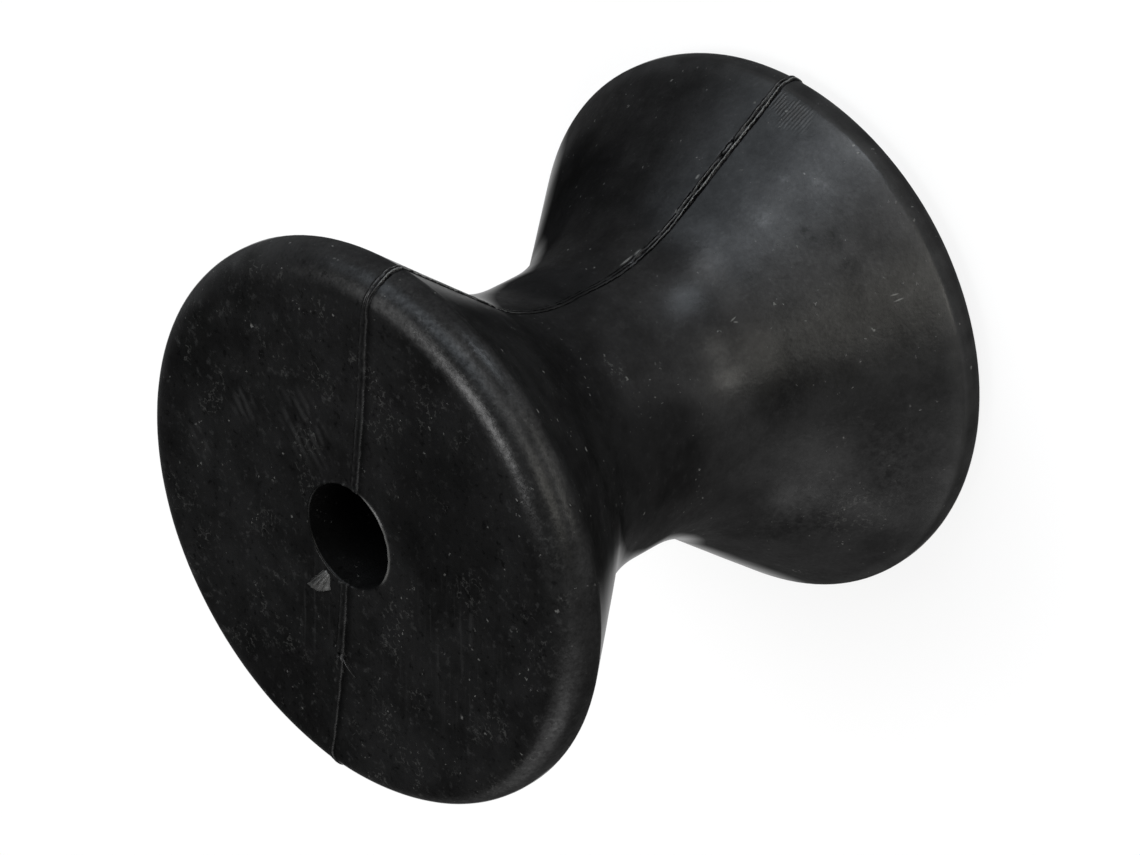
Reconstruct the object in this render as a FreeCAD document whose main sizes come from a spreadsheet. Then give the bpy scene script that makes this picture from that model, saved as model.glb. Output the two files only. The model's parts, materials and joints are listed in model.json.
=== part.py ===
import FreeCAD, Part
import math
import os
import Sketcher

# A bow roller for a boat trailer: one spool moulded in solid rubber.
# Two flared cheeks run down in long hollows to a slim neck, and a plain bore takes the shaft.
# The mould closed on a plane through the bore, and its parting line stands proud as a thin ridge.
# The spool stands on one cheek: +Z is the bore, and the origin is the middle of the face it stands on.
# The sketches draw the spool's upper half about its mid-length, and mirrors add the lower half.

# Driving dimensions, in millimetres
SIZES = {
    "overall_length": 76.0,
    "cheek_diameter": 72.0,
    "neck_diameter": 37.5,
    "neck_length": 4.5,
    "hollow_reach": 7.7,
    "rim_width": 1.1,
    "face_edge_radius": 4.0,
    "bore_diameter": 13.5,
    "bore_mouth_chamfer": 0.5,
    "ridge_height": 0.35,
    "ridge_width": 0.8,
}
NODE = "roller_body"
FULL_TURN = 360.0
RIDGE_SIDES = 2

# Sketcher's numbers for a curve's start, end and centre, and for the sketch's own axes
START, END, CENTRE = range(1, 4)
AXIS_X, AXIS_Y = -1, -2
ORIGIN = (AXIS_X, START)
UPRIGHT = FreeCAD.Vector(0, 0, 1)
POLE_WEIGHT = 1.0


def make_sheet(doc):
    sheet = doc.addObject("Spreadsheet::Sheet", "Sizes")
    for row, (alias, value) in enumerate(SIZES.items(), start=1):
        sheet.set(f"A{row}", alias)
        sheet.set(f"B{row}", str(value))
        sheet.setAlias(f"B{row}", alias)
    doc.recompute()
    return sheet


def origin_feature(body, role):
    return next(item for item in body.Origin.OriginFeatures if item.Role == role)


def new_sketch(body, name, plane):
    sketch = body.newObject("Sketcher::SketchObject", name)
    sketch.AttachmentSupport = [(origin_feature(body, plane), "")]
    sketch.MapMode = "FlatFace"
    return sketch


def bind(sketch, name, expression, *constraint):
    """Adds a named constraint whose value follows the sheet."""
    sketch.addConstraint(Sketcher.Constraint(*constraint))
    sketch.renameConstraint(sketch.ConstraintCount - 1, name)
    sketch.setExpression(f"Constraints.{name}", expression)


def point(x, y):
    return FreeCAD.Vector(x, y, 0)


def curve(poles):
    """One smooth arc that leaves towards its middle pole and arrives from it."""
    degree = len(poles) - 1
    mults = [degree + 1, degree + 1]
    spline = Part.BSplineCurve()
    spline.buildFromPolesMultsKnots(poles, mults, [0, 1], False, degree)
    return spline


def add_poles(sketch, spline, poles):
    """Gives a curve's poles to the sketch as construction circles, so that constraints can hold them."""
    circles = []
    for number, pole in enumerate(poles):
        circle = sketch.addGeometry(Part.Circle(pole, UPRIGHT, POLE_WEIGHT), True)
        sketch.addConstraint(Sketcher.Constraint("Weight", circle, POLE_WEIGHT))
        sketch.addConstraint(Sketcher.Constraint(
            "InternalAlignment:Sketcher::BSplineControlPoint", circle, CENTRE, spline, number))
        circles.append(circle)
    return circles


def draw_outline(sketch, sheet, is_ridge):
    """Draws half of a lengthwise section as a closed loop: x is the radius, y the height above mid-length.

    The rubber's own outline closes on the axis. The ridge's is the same outline moved outwards by the
    ridge's height, and closes inside the neck's wall.
    """
    grow = sheet.ridge_height if is_ridge else 0.0
    outside = " + Sizes.ridge_height" if is_ridge else ""

    half = sheet.overall_length / 2
    inner = (sheet.bore_diameter + sheet.neck_diameter) / 4 if is_ridge else 0.0
    neck = sheet.neck_diameter / 2 + grow
    cheek = sheet.cheek_diameter / 2 + grow
    radius = sheet.face_edge_radius
    reach = sheet.hollow_reach

    # The hollow bends from the neck to the flare round the corner where their lines meet
    waist_end = point(neck, sheet.neck_length / 2)
    corner = waist_end + point(0, reach)
    rim_start = point(cheek, half - radius - sheet.rim_width)
    flare = rim_start - corner
    hollow_end = corner + flare * (reach / flare.Length)
    hollow_poles = [waist_end, corner, hollow_end]
    face_edge = Part.Circle(point(cheek - radius, half - radius), UPRIGHT, radius)

    middle, waist, hollow, slope, rim, shoulder, face, close = sketch.addGeometry([
        Part.LineSegment(point(inner, 0), point(neck, 0)),
        Part.LineSegment(point(neck, 0), waist_end),
        curve(hollow_poles),
        Part.LineSegment(hollow_end, rim_start),
        Part.LineSegment(rim_start, point(cheek, half - radius)),
        Part.ArcOfCircle(face_edge, 0, math.pi / 2),
        Part.LineSegment(point(cheek - radius, half), point(inner, half)),
        Part.LineSegment(point(inner, half), point(inner, 0)),
    ], False)
    pole = add_poles(sketch, hollow, hollow_poles)[1]

    for line in (middle, face):
        sketch.addConstraint(Sketcher.Constraint("Horizontal", line))
    for line in (waist, rim, close):
        sketch.addConstraint(Sketcher.Constraint("Vertical", line))
    joined = [
        ("Coincident", close, END, middle, START),
        ("Coincident", middle, END, waist, START),
        ("Coincident", waist, END, hollow, START),
        ("PointOnObject", pole, CENTRE, waist),
        ("PointOnObject", pole, CENTRE, slope),
        ("Coincident", hollow, END, slope, START),
        ("Coincident", slope, END, rim, START),
        ("Tangent", rim, END, shoulder, START),
        ("Tangent", shoulder, END, face, START),
        ("Coincident", face, END, close, START),
        ("PointOnObject", middle, START, AXIS_X),
    ]
    for pair in joined:
        sketch.addConstraint(Sketcher.Constraint(*pair))

    if is_ridge:
        bind(sketch, "inner", "(Sizes.bore_diameter + Sizes.neck_diameter) / 4",
             "DistanceX", *ORIGIN, middle, START, inner)
    else:
        sketch.addConstraint(Sketcher.Constraint("PointOnObject", middle, START, AXIS_Y))

    bind(sketch, "neck", f"Sizes.neck_diameter / 2{outside}", "DistanceX", *ORIGIN, waist, START, neck)
    bind(sketch, "waist", "Sizes.neck_length / 2", "DistanceY", waist, START, waist, END, waist_end.y)
    bind(sketch, "reach_up", "Sizes.hollow_reach", "DistanceY", waist, END, pole, CENTRE, reach)
    bind(sketch, "reach_out", "Sizes.hollow_reach", "Distance", pole, CENTRE, slope, START, reach)
    bind(sketch, "cheek", f"Sizes.cheek_diameter / 2{outside}", "DistanceX", *ORIGIN, rim, START, cheek)
    bind(sketch, "rim", "Sizes.rim_width", "DistanceY", rim, START, rim, END, sheet.rim_width)
    bind(sketch, "face_edge", "Sizes.face_edge_radius", "Radius", shoulder, radius)
    bind(sketch, "half", "Sizes.overall_length / 2", "DistanceY", *ORIGIN, face, START, half)


def turn_spool(doc, body, sheet):
    """Turns the upper half of the spool round the bore's axis and mirrors it."""
    sketch = new_sketch(body, "spool_section", "XZ_Plane")
    draw_outline(sketch, sheet, is_ridge=False)
    spool = body.newObject("PartDesign::Revolution", "spool")
    spool.Profile = sketch
    spool.ReferenceAxis = (sketch, ["V_Axis"])
    spool.Angle = FULL_TURN
    doc.recompute()

    both_halves = body.newObject("PartDesign::Mirrored", "both_halves")
    both_halves.Originals = [spool]
    both_halves.MirrorPlane = (origin_feature(body, "XY_Plane"), [""])
    body.Tip = both_halves
    doc.recompute()


def raise_parting_line(doc, body, sheet):
    """Adds the ridge where the mould's halves met: a narrow turn of its outline, then its three copies."""
    sketch = new_sketch(body, "ridge_section", "XZ_Plane")
    draw_outline(sketch, sheet, is_ridge=True)
    ridge = body.newObject("PartDesign::Revolution", "ridge")
    ridge.Profile = sketch
    ridge.ReferenceAxis = (sketch, ["V_Axis"])
    ridge.Midplane = True
    ridge.setExpression("Angle", "2 * asin(Sizes.ridge_width / Sizes.cheek_diameter)")
    doc.recompute()

    whole_ridge = body.newObject("PartDesign::MultiTransform", "whole_ridge")
    sides = body.newObject("PartDesign::PolarPattern", "ridge_sides")
    sides.Axis = (origin_feature(body, "Z_Axis"), [""])
    sides.Angle = FULL_TURN
    sides.Occurrences = RIDGE_SIDES
    halves = body.newObject("PartDesign::Mirrored", "ridge_halves")
    halves.MirrorPlane = (origin_feature(body, "XY_Plane"), [""])
    whole_ridge.Originals = [ridge]
    whole_ridge.Transformations = [sides, halves]
    body.Tip = whole_ridge
    doc.recompute()


def bore_through(doc, body, sheet):
    """Takes out the shaft's bore and eases its two mouths."""
    solid_volume = body.Tip.Shape.Volume
    sketch = new_sketch(body, "bore_section", "XY_Plane")
    circle = Part.Circle(point(0, 0), UPRIGHT, sheet.bore_diameter / 2)
    ring = sketch.addGeometry(circle, False)
    sketch.addConstraint(Sketcher.Constraint("Coincident", ring, CENTRE, *ORIGIN))
    bind(sketch, "bore", "Sizes.bore_diameter", "Diameter", ring, sheet.bore_diameter)
    bore = body.newObject("PartDesign::Pocket", "bore")
    bore.Profile = sketch
    bore.Type = "ThroughAll"
    bore.SideType = "Symmetric"
    doc.recompute()
    if bore.Shape.Volume >= solid_volume:
        raise RuntimeError("the bore took nothing out")

    mouths = body.newObject("PartDesign::Chamfer", "bore_mouths")
    mouths.Base = (bore, mouth_edges(bore.Shape, sheet.bore_diameter / 2))
    mouths.setExpression("Size", "Sizes.bore_mouth_chamfer")
    body.Tip = mouths
    doc.recompute()


def mouth_edges(shape, radius):
    """Names the circles where the bore meets the end faces."""
    names = []
    for number, edge in enumerate(shape.Edges, start=1):
        curve = edge.Curve
        if isinstance(curve, Part.Circle) and math.isclose(curve.Radius, radius, rel_tol=1e-6):
            names.append(f"Edge{number}")
    return names


def check(doc, body):
    for item in doc.Objects:
        if {"Invalid", "Error"} & set(item.State):
            raise RuntimeError(f"{item.Name} failed: {item.State}")
    shape = body.Shape
    if shape.isNull() or not shape.isValid() or len(shape.Solids) != 1:
        raise RuntimeError(f"{body.Label} isn't one valid solid")


def main():
    doc = FreeCAD.newDocument("roller")
    sheet = make_sheet(doc)
    body = doc.addObject("PartDesign::Body", NODE)
    body.Label = NODE
    turn_spool(doc, body, sheet)
    raise_parting_line(doc, body, sheet)
    bore_through(doc, body, sheet)
    body.setExpression("Placement.Base.z", "Sizes.overall_length / 2")
    doc.recompute()
    check(doc, body)
    os.makedirs("parts", exist_ok=True)
    body.Shape.exportStep(f"parts/{body.Label}.step")
    box = body.Shape.optimalBoundingBox()
    print(f"{body.Label}: {box.XLength:.2f} x {box.YLength:.2f} x {box.ZLength:.2f} mm, from z {box.ZMin:.2f}")
    print(f"volume {body.Shape.Volume:.0f} cubic mm, {len(body.Shape.Faces)} faces")


main()
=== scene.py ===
import json
import math
from types import SimpleNamespace

import bpy
import numpy as np
from mathutils import Matrix, Vector, noise


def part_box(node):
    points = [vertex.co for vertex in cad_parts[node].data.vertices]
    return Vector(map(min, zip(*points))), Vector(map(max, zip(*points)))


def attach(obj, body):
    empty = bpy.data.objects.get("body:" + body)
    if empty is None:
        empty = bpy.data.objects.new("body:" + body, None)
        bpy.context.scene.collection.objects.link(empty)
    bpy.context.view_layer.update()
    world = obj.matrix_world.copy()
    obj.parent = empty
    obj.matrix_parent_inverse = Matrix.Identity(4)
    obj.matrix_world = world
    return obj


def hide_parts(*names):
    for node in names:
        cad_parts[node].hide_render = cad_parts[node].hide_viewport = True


# The looks of a moulded rubber bow roller. It stands on one cheek with its bore upright.
# Lengths in the shape functions are millimetres, and smooth_mesh turns them into metres.

MM = 0.001
BODY = "root"
NODE = "roller_body"

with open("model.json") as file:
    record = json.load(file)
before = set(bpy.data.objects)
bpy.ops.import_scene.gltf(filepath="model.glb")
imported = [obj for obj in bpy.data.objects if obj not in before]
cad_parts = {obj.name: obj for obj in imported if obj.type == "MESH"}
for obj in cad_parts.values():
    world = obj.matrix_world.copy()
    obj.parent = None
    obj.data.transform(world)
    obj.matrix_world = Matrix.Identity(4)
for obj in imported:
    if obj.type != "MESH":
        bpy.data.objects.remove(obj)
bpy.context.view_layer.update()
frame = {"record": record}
foot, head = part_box(NODE)
mounts = {mount["name"]: mount for mount in frame["record"]["mounts"]}

# The spool's sizes: the first three come from the frame, the rest were fitted to the photo
LENGTH = (head.z - foot.z) / MM
CHEEK_R = (head.y - foot.y) / 2 / MM
BORE_R = mounts["bore"]["dims"]["r_mm"]
HALF = LENGTH / 2
NECK_R = 18.75
WAIST_HALF = 2.25
HOLLOW_R = 23.0
FLARE_EDGE_R = 1.6
RIM_WIDTH = 0.6
FACE_EDGE_R = 4.0
MOUTH_R = 0.3

# The camera stands where the photo's did, found from the outline, the bore and the parting line
TARGET = Vector((-0.00083, -0.00047, 0.03837))
CAMERA_AZIMUTH = math.radians(-47.43)
CAMERA_ELEVATION = math.radians(38.813)
CAMERA_ROLL = math.radians(117.98)
CAMERA_DISTANCE = 0.54572
SENSOR_WIDTH = 36.0
FOCAL_LENGTH = 139.918
CLIP_START = 0.01


def add_camera():
    """Looks down at the target and is rolled about its own line of sight."""
    level = math.cos(CAMERA_ELEVATION)
    ahead = Vector((
        math.sin(CAMERA_AZIMUTH) * level,
        math.cos(CAMERA_AZIMUTH) * level,
        -math.sin(CAMERA_ELEVATION),
    ))
    side = ahead.cross(Vector((0, 0, 1))).normalized()
    upright = side.cross(ahead)
    up = upright * math.cos(CAMERA_ROLL) + side * math.sin(CAMERA_ROLL)
    right = ahead.cross(up)
    turn = Matrix((right, up, -ahead)).transposed()
    data = bpy.data.cameras.new("camera")
    data.sensor_width = SENSOR_WIDTH
    data.lens = FOCAL_LENGTH
    data.clip_start = CLIP_START
    camera = bpy.data.objects.new("camera", data)
    camera.matrix_world = Matrix.Translation(TARGET - ahead * CAMERA_DISTANCE) @ turn.to_4x4()
    bpy.context.scene.collection.objects.link(camera)
    bpy.context.scene.camera = camera


# The stretches of the section, from the bore out to the cheek's edge and down to the waist
BORE, MOUTH, FACE, SHOULDER, RIM, EDGE, FLARE, HOLLOW, WAIST = range(9)
# About how far apart the points of each stretch are
SPACING = {
    BORE: 1.9,
    MOUTH: 0.09,
    FACE: 0.36,
    SHOULDER: 0.3,
    RIM: 0.3,
    EDGE: 0.25,
    FLARE: 0.42,
    HOLLOW: 0.42,
    WAIST: 0.45,
}


def line_points(start, end, step):
    """Points from start up to, but without, end."""
    length = math.dist(start, end)
    count = max(1, round(length / step))
    share = np.arange(count)[:, None] / count
    return np.array(start) * (1 - share) + np.array(end) * share


def arc_points(centre, radius, first, last, step):
    """Points round an arc from its first angle up to, but without, its last."""
    count = max(1, round(abs(last - first) * radius / step))
    angles = first + (last - first) * np.arange(count) / count
    return np.array(centre) + radius * np.stack([np.cos(angles), np.sin(angles)], axis=1)


def upper_section():
    """The section's upper half as (radius, height above mid-length, stretch), from the bore to the waist.

    The flare is the straight line that touches both the hollow's arc and the arc of the cheek's outer edge.
    """
    face_centre = (CHEEK_R - FACE_EDGE_R, HALF - FACE_EDGE_R)
    edge_centre = (CHEEK_R - FLARE_EDGE_R, HALF - FACE_EDGE_R - RIM_WIDTH)
    hollow_centre = (NECK_R + HOLLOW_R, WAIST_HALF)
    mouth_centre = (BORE_R + MOUTH_R, HALF - MOUTH_R)
    dx = edge_centre[0] - hollow_centre[0]
    dy = edge_centre[1] - hollow_centre[1]
    flare = math.asin((FLARE_EDGE_R + HOLLOW_R) / math.hypot(dx, dy)) - math.atan2(-dx, dy)
    outward = np.array([math.cos(flare), -math.sin(flare)])
    flare_head = np.array(edge_centre) + outward * FLARE_EDGE_R
    flare_foot = np.array(hollow_centre) - outward * HOLLOW_R
    stretches = {
        BORE: line_points((BORE_R, 0), mouth_centre - np.array((MOUTH_R, 0)), SPACING[BORE]),
        MOUTH: arc_points(mouth_centre, MOUTH_R, math.pi, math.pi / 2, SPACING[MOUTH]),
        FACE: line_points((BORE_R + MOUTH_R, HALF), (CHEEK_R - FACE_EDGE_R, HALF), SPACING[FACE]),
        SHOULDER: arc_points(face_centre, FACE_EDGE_R, math.pi / 2, 0, SPACING[SHOULDER]),
        RIM: line_points((CHEEK_R, face_centre[1]), (CHEEK_R, edge_centre[1]), SPACING[RIM]),
        EDGE: arc_points(edge_centre, FLARE_EDGE_R, 0, -flare, SPACING[EDGE]),
        FLARE: line_points(flare_head, flare_foot, SPACING[FLARE]),
        HOLLOW: arc_points(hollow_centre, HOLLOW_R, math.pi - flare, math.pi, SPACING[HOLLOW]),
        WAIST: line_points((NECK_R, WAIST_HALF), (NECK_R, 0), SPACING[WAIST]),
    }
    return np.concatenate([
        np.column_stack([points, np.full(len(points), stretch)]) for stretch, points in stretches.items()
    ])


def spool_section():
    """The whole closed section: the upper half, then its mirror image back to the bore."""
    upper = upper_section()
    lower = upper[::-1] * np.array([1, -1, 1])
    waist = np.array([[NECK_R, 0.0, WAIST]])
    return np.concatenate([upper, waist, lower[:-1]])


def section_normals(section):
    along = np.roll(section[:, :2], -1, axis=0) - np.roll(section[:, :2], 1, axis=0)
    normals = np.stack([-along[:, 1], along[:, 0]], axis=1)
    return normals / np.linalg.norm(normals, axis=1)[:, None]


# Beside the parting line the columns keep their distance from it, in millimetres, all along the section
SEAM_COLUMNS = np.arange(-15, 16) * 0.08
BESIDE_SEAM = np.array([1.29, 1.4, 1.55, 1.75, 2.05, 2.45, 3.0, 3.8])
SEAM_ZONE = np.concatenate([-BESIDE_SEAM[::-1], SEAM_COLUMNS, BESIDE_SEAM])
COLUMNS_BETWEEN = 68
# The place across the parting line, in half-widths, from which it no longer shows
SEAM_FAR = 5.0


def column_angles(radius):
    """Angles round the bore at each radius, one row each: dense by both parting lines, even between."""
    near = np.arcsin(SEAM_ZONE[None, :] / radius[:, None])
    last = near[:, -1:]
    share = np.arange(1, COLUMNS_BETWEEN) / COLUMNS_BETWEEN
    between = last + (math.pi - 2 * last) * share
    half_turn = np.concatenate([near, between], axis=1)
    return np.concatenate([half_turn, half_turn + math.pi], axis=1)


# How far each seed shifts a wave's pattern, in lumps
SEED_SHIFT = (17.3, 5.1, 9.7)


def wave(points, size, seed):
    """Smooth noise from -1 to 1 with lumps of about that size, the same on every run."""
    shift = Vector([seed * step for step in SEED_SHIFT])
    flat = points.reshape(-1, 3) / size
    values = [noise.noise(Vector(point) + shift) for point in flat]
    return np.array(values).reshape(points.shape[:-1])


def wavering(points, mean, waves, limits=(-math.inf, math.inf)):
    """A value that wavers round its mean from place to place. Each wave is its strength, size and seed."""
    total = mean
    for strength, size, seed in waves:
        total = total + strength * wave(points, size, seed)
    return np.clip(total, *limits)


def bell(distance, width):
    return np.exp(-(distance / width) ** 2)


def smooth_step(low, high, value):
    share = np.clip((value - low) / (high - low), 0, 1)
    return share * share * (3 - 2 * share)


# The parting line on each stretch: the height of its crest towards +Y, the depth of its groove, the height of
# its other crest, its half-width, and the step across it
SEAM_SHAPES = {
    BORE: (0.00, 0.00, 0.00, 0.40, 0.00),
    MOUTH: (0.03, 0.00, 0.03, 0.40, 0.04),
    FACE: (0.035, 0.015, 0.03, 0.40, 0.10),
    SHOULDER: (0.05, 0.08, 0.10, 0.29, 0.06),
    RIM: (0.08, 0.12, 0.14, 0.28, 0.04),
    EDGE: (0.10, 0.16, 0.18, 0.28, 0.04),
    FLARE: (0.11, 0.20, 0.18, 0.31, 0.04),
    HOLLOW: (0.03, 0.07, 0.06, 0.25, 0.07),
    WAIST: (0.01, 0.05, 0.03, 0.21, 0.10),
}
# How many points of the section share a change from one stretch to the next: an odd number
SEAM_BLEND = 5


def seam_shape(stretch):
    """The parting line's five sizes at each point of the section, smoothed from stretch to stretch."""
    rows = np.array([SEAM_SHAPES[int(kind)] for kind in stretch])
    kernel = np.ones(SEAM_BLEND) / SEAM_BLEND
    margin = SEAM_BLEND // 2
    padded = np.concatenate([rows[-margin:], rows, rows[:margin]])
    return np.stack([np.convolve(padded[:, k], kernel, "valid") for k in range(rows.shape[1])], axis=1)


# The heights over which the parting line takes up its stray on the upper face
STRAY_HEIGHTS = (74.0, 75.9)
# The stray on the +X side: at the bore, how much it gains further out, and between which distances
STRAY_START = -0.42
STRAY_GAIN = 0.6
STRAY_GAIN_ZONE = (16, 33)
# The stray on the -X side: its mean, its swing, and the distance for each radian of the swing
STRAY_MEAN = -0.05
STRAY_SWING = 0.25
STRAY_PACE = 5.5
# The small strays that it has everywhere: strength, size, seed
STRAY_WAVES = ((0.06, 2.2, 3), (0.1, 9.0, 4))


def seam_centre(points, side):
    """How far the parting line strays from its plane, towards +Y."""
    face = smooth_step(*STRAY_HEIGHTS, points[..., 2])
    out = points[..., 0] * side
    if side > 0:
        stray = STRAY_START + STRAY_GAIN * smooth_step(*STRAY_GAIN_ZONE, out)
    else:
        stray = STRAY_MEAN + STRAY_SWING * np.cos(out / STRAY_PACE)
    return wavering(points, face * stray, STRAY_WAVES)


# Flash left at the rims where the mould's halves met: side of the bore, height above the foot, distance off
# the line, size
RIM_NUBS = (
    (1, 3.2, 0.0, 0.42),
    (1, 72.6, 0.0, 0.36),
    (-1, 73.2, 0.2, 0.45),
)
NUB_LENGTH = 1.3
NUB_WIDTH = 0.5
NUB_ZONE = (CHEEK_R - 3.0, CHEEK_R - 0.5)
NUB_LUMPS = (0.8, ((0.5, 0.6, 7),))
# Bites out of the trimmed line on the +X side's lower flare: height above the foot, depth
SEAM_BITES = ((14.3, 0.42), (12.5, 0.42), (13.3, 0.15), (19.5, 0.15), (22.0, 0.15))
BITE_LENGTH = 0.42
BITE_WIDTH = 0.24
# Burrs left standing on it: height above the foot, size
SEAM_BURRS = ((27.8, 0.34), (28.6, 0.22), (18.0, 0.16), (9.0, 0.10), (23.4, 0.10))
BURR_LENGTH = 0.5
BURR_WIDTH = 0.16
# How far towards +Y of the line's middle the bites and burrs sit
CREST_OFF = 0.28


def damaged(relief, points, across, side):
    """Adds the bites, burrs and nubs to the parting line's relief on one side of the bore."""
    z = points[..., 2]
    if side > 0:
        for height, depth in SEAM_BITES:
            relief = relief - depth * bell(z - height, BITE_LENGTH) * bell(across - CREST_OFF, BITE_WIDTH)
        for height, size in SEAM_BURRS:
            relief = relief + size * bell(z - height, BURR_LENGTH) * bell(across - CREST_OFF, BURR_WIDTH)
    for nub_side, height, off, size in RIM_NUBS:
        if nub_side == side:
            lump = bell(z - height, NUB_LENGTH) * bell(across - off, NUB_WIDTH)
            outer = smooth_step(*NUB_ZONE, np.abs(points[..., 0]))
            relief = relief + size * lump * outer * wavering(points, *NUB_LUMPS)
    return relief


# How the two crests waver along the line: mean, waves of strength, size and seed, limits
RAGGED = (0.8, ((0.6, 0.9, 5), (0.4, 3.0, 6)), (0.1, 1.5))
TORN = (0.7, ((0.8, 1.3, 12), (0.5, 4.0, 13)), (0.0, 1.6))
# Places and widths across the line, in its half-widths
UPPER_CREST_WIDTH = 0.40
LOWER_CREST_WIDTH = 0.38
GROOVE_WIDTH = 0.38
UNDERCUT_PLACE = -1.7
UNDERCUT_WIDTH = 0.3
PLINTH_EDGES = (1.25, 0.8)
STEP_EDGES = (-1.3, -0.9)
# The undercut's depth and the plinth's height, as shares of the crests'
UNDERCUT_SHARE = 0.4
PLINTH_SHARE = 0.25
# How far beside the line the step across it has levelled out
STEP_REACH = 7.0


def seam_relief(points, section, side):
    """The parting line on one side of the bore: its height, the step across it, and the place across it.

    The place is 1 on the crest towards +Y, 0 in the groove and -1 on the other crest.
    """
    left, groove, right, half_width, step = (column[:, None] for column in seam_shape(section[:, 2]).T)
    across = points[..., 1] - seam_centre(points, side)
    place = across / half_width
    ragged = wavering(points, *RAGGED)
    torn = wavering(points, *TORN)
    relief = left * torn * bell(place - 1, UPPER_CREST_WIDTH)
    relief = relief + right * ragged * bell(place + 1, LOWER_CREST_WIDTH)
    relief = relief - groove * torn * bell(place, GROOVE_WIDTH)
    relief = relief - UNDERCUT_SHARE * right * bell(place - UNDERCUT_PLACE, UNDERCUT_WIDTH)
    relief = relief + PLINTH_SHARE * (left + right) * smooth_step(*PLINTH_EDGES, np.abs(place))
    far = np.clip(np.abs(across) / STEP_REACH, 0, 1)
    level = step * smooth_step(*STEP_EDGES, place) * (1 - far) ** 2
    return damaged(relief, points, across, side), level, place


# The lip's height, how much taller it is on one side, which way that side faces, and how far round it reaches
LIP_HEIGHT = 0.05
LIP_GAIN = 0.28
LIP_TOWARDS = -1.35
LIP_SPREAD = 0.9
# How far outside the bore the lip's crest stands, the crest's width, and the heights over which it comes in
LIP_OFF = 0.16
LIP_WIDTH = 0.16
LIP_ZONE = (HALF - 0.6, HALF - 0.1)
LIP_RAGGED = (0.9, ((0.5, 1.1, 8),), (0.1, 1.6))


def lip_relief(points, radius, height):
    """The thin lip that stands up round the upper mouth of the bore, taller on one side."""
    angle = np.arctan2(points[..., 1], points[..., 0])
    tall = LIP_HEIGHT + LIP_GAIN * bell(angle - LIP_TOWARDS, LIP_SPREAD)
    ragged = wavering(points, *LIP_RAGGED)
    crest = bell(radius - BORE_R - LIP_OFF, LIP_WIDTH)
    top = smooth_step(*LIP_ZONE, height)
    return tall * ragged * crest * top


# Lumps and pits by the parting line and on the bore's rim of the upper face: x, y, height, radius
FACE_LUMPS = (
    (-17.66, -0.66, 0.34, 0.34),
    (-17.60, -0.10, -0.30, 0.30),
    (-18.30, 0.55, 0.10, 0.50),
    (-20.40, 0.50, 0.16, 0.35),
    (-21.60, 0.10, 0.20, 0.35),
    (-22.60, 0.35, 0.12, 0.40),
    (-7.17, 0.75, 0.24, 0.26),
    (-6.60, -1.10, 0.14, 0.22),
    (-2.72, -6.00, 0.22, 0.16),
    (6.40, 2.90, 0.16, 0.26),
    (6.90, 1.30, 0.18, 0.30),
    (6.80, -0.40, 0.14, 0.24),
    (5.20, 4.50, 0.16, 0.24),
)
# The heights over which the lumps come in
LUMP_ZONE = (LENGTH - 1.0, LENGTH - 0.2)


def lump_relief(points):
    top = smooth_step(*LUMP_ZONE, points[..., 2])
    relief = np.zeros(points.shape[:-1])
    for x, y, height, radius in FACE_LUMPS:
        relief = relief + height * bell(np.hypot(points[..., 0] - x, points[..., 1] - y), radius)
    return relief * top


# Zones where the bloom is worn thin: centre and reach
BARE_ZONES = (
    ((7.0, -18.5, 43.0), (13.0, 9.0, 13.0)),
    ((20.0, -28.0, 64.0), (21.0, 19.0, 10.5)),
    ((13.0, 22.0, 21.0), (17.0, 16.0, 20.0)),
    ((17.0, 6.0, 39.0), (10.0, 13.0, 7.0)),
)
# Zones of the upper face and the lower flare darkened with painted shade: centre and reach
DARK_ZONES = (
    ((13.0, 22.0, 21.0), (18.0, 18.0, 21.0)),
    ((11.0, -14.0, LENGTH), (19.0, 13.5, 3.0)),
)
# Patches that shine less: centre and reach
DULL_PATCHES = (
    ((24.9, -14.6, 14.6), (1.6, 2.6, 1.8)),
    ((24.8, -17.4, 12.7), (1.6, 2.2, 1.6)),
    ((22.6, -20.2, 12.7), (2.0, 1.6, 2.2)),
    ((8.0, -21.0, 22.5), (5.0, 3.0, 5.0)),
    ((-0.8, -30.9, 12.0), (12.0, 7.0, 9.0)),
    ((-12.3, -22.4, 19.0), (8.0, 9.0, 9.0)),
    ((19.3, -30.4, 71.5), (6.0, 4.5, 3.0)),
)
# Patches of the flares with fine curled marks: centre and reach
CURLED_PATCHES = (
    ((-10.0, -27.6, 13.9), (7.0, 5.0, 6.0)),
    ((-2.0, -25.7, 18.7), (2.6, 2.0, 2.6)),
    ((15.8, -10.5, 43.6), (3.4, 3.4, 3.0)),
)
# The share of its reach over which an area is at its full strength: a wide core, or none
WIDE_CORE = 0.3
NO_CORE = 0.0
# How an area's edge wavers, as a share of its reach: mean, and waves of strength, size and seed
EDGE_WAVER = (0.0, ((0.22, 7.0, 16),))


def area_mask(points, areas, core, uneven):
    """1 within the core of any of some soft areas, 0 beyond their reach, with uneven edges."""
    depths = []
    for centre, reach in areas:
        share = np.linalg.norm((points - np.array(centre)) / np.array(reach), axis=-1)
        depths.append(smooth_step(1.0, core, share + uneven))
    return np.max(depths, axis=0)


def smooth_mesh(name, points, faces):
    """A smooth-shaded mesh from points in millimetres."""
    mesh = bpy.data.meshes.new(name)
    mesh.from_pydata((points.reshape(-1, 3) * MM).tolist(), [], faces)
    mesh.polygons.foreach_set("use_smooth", np.ones(len(mesh.polygons), bool))
    mesh.update()
    return mesh


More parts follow.
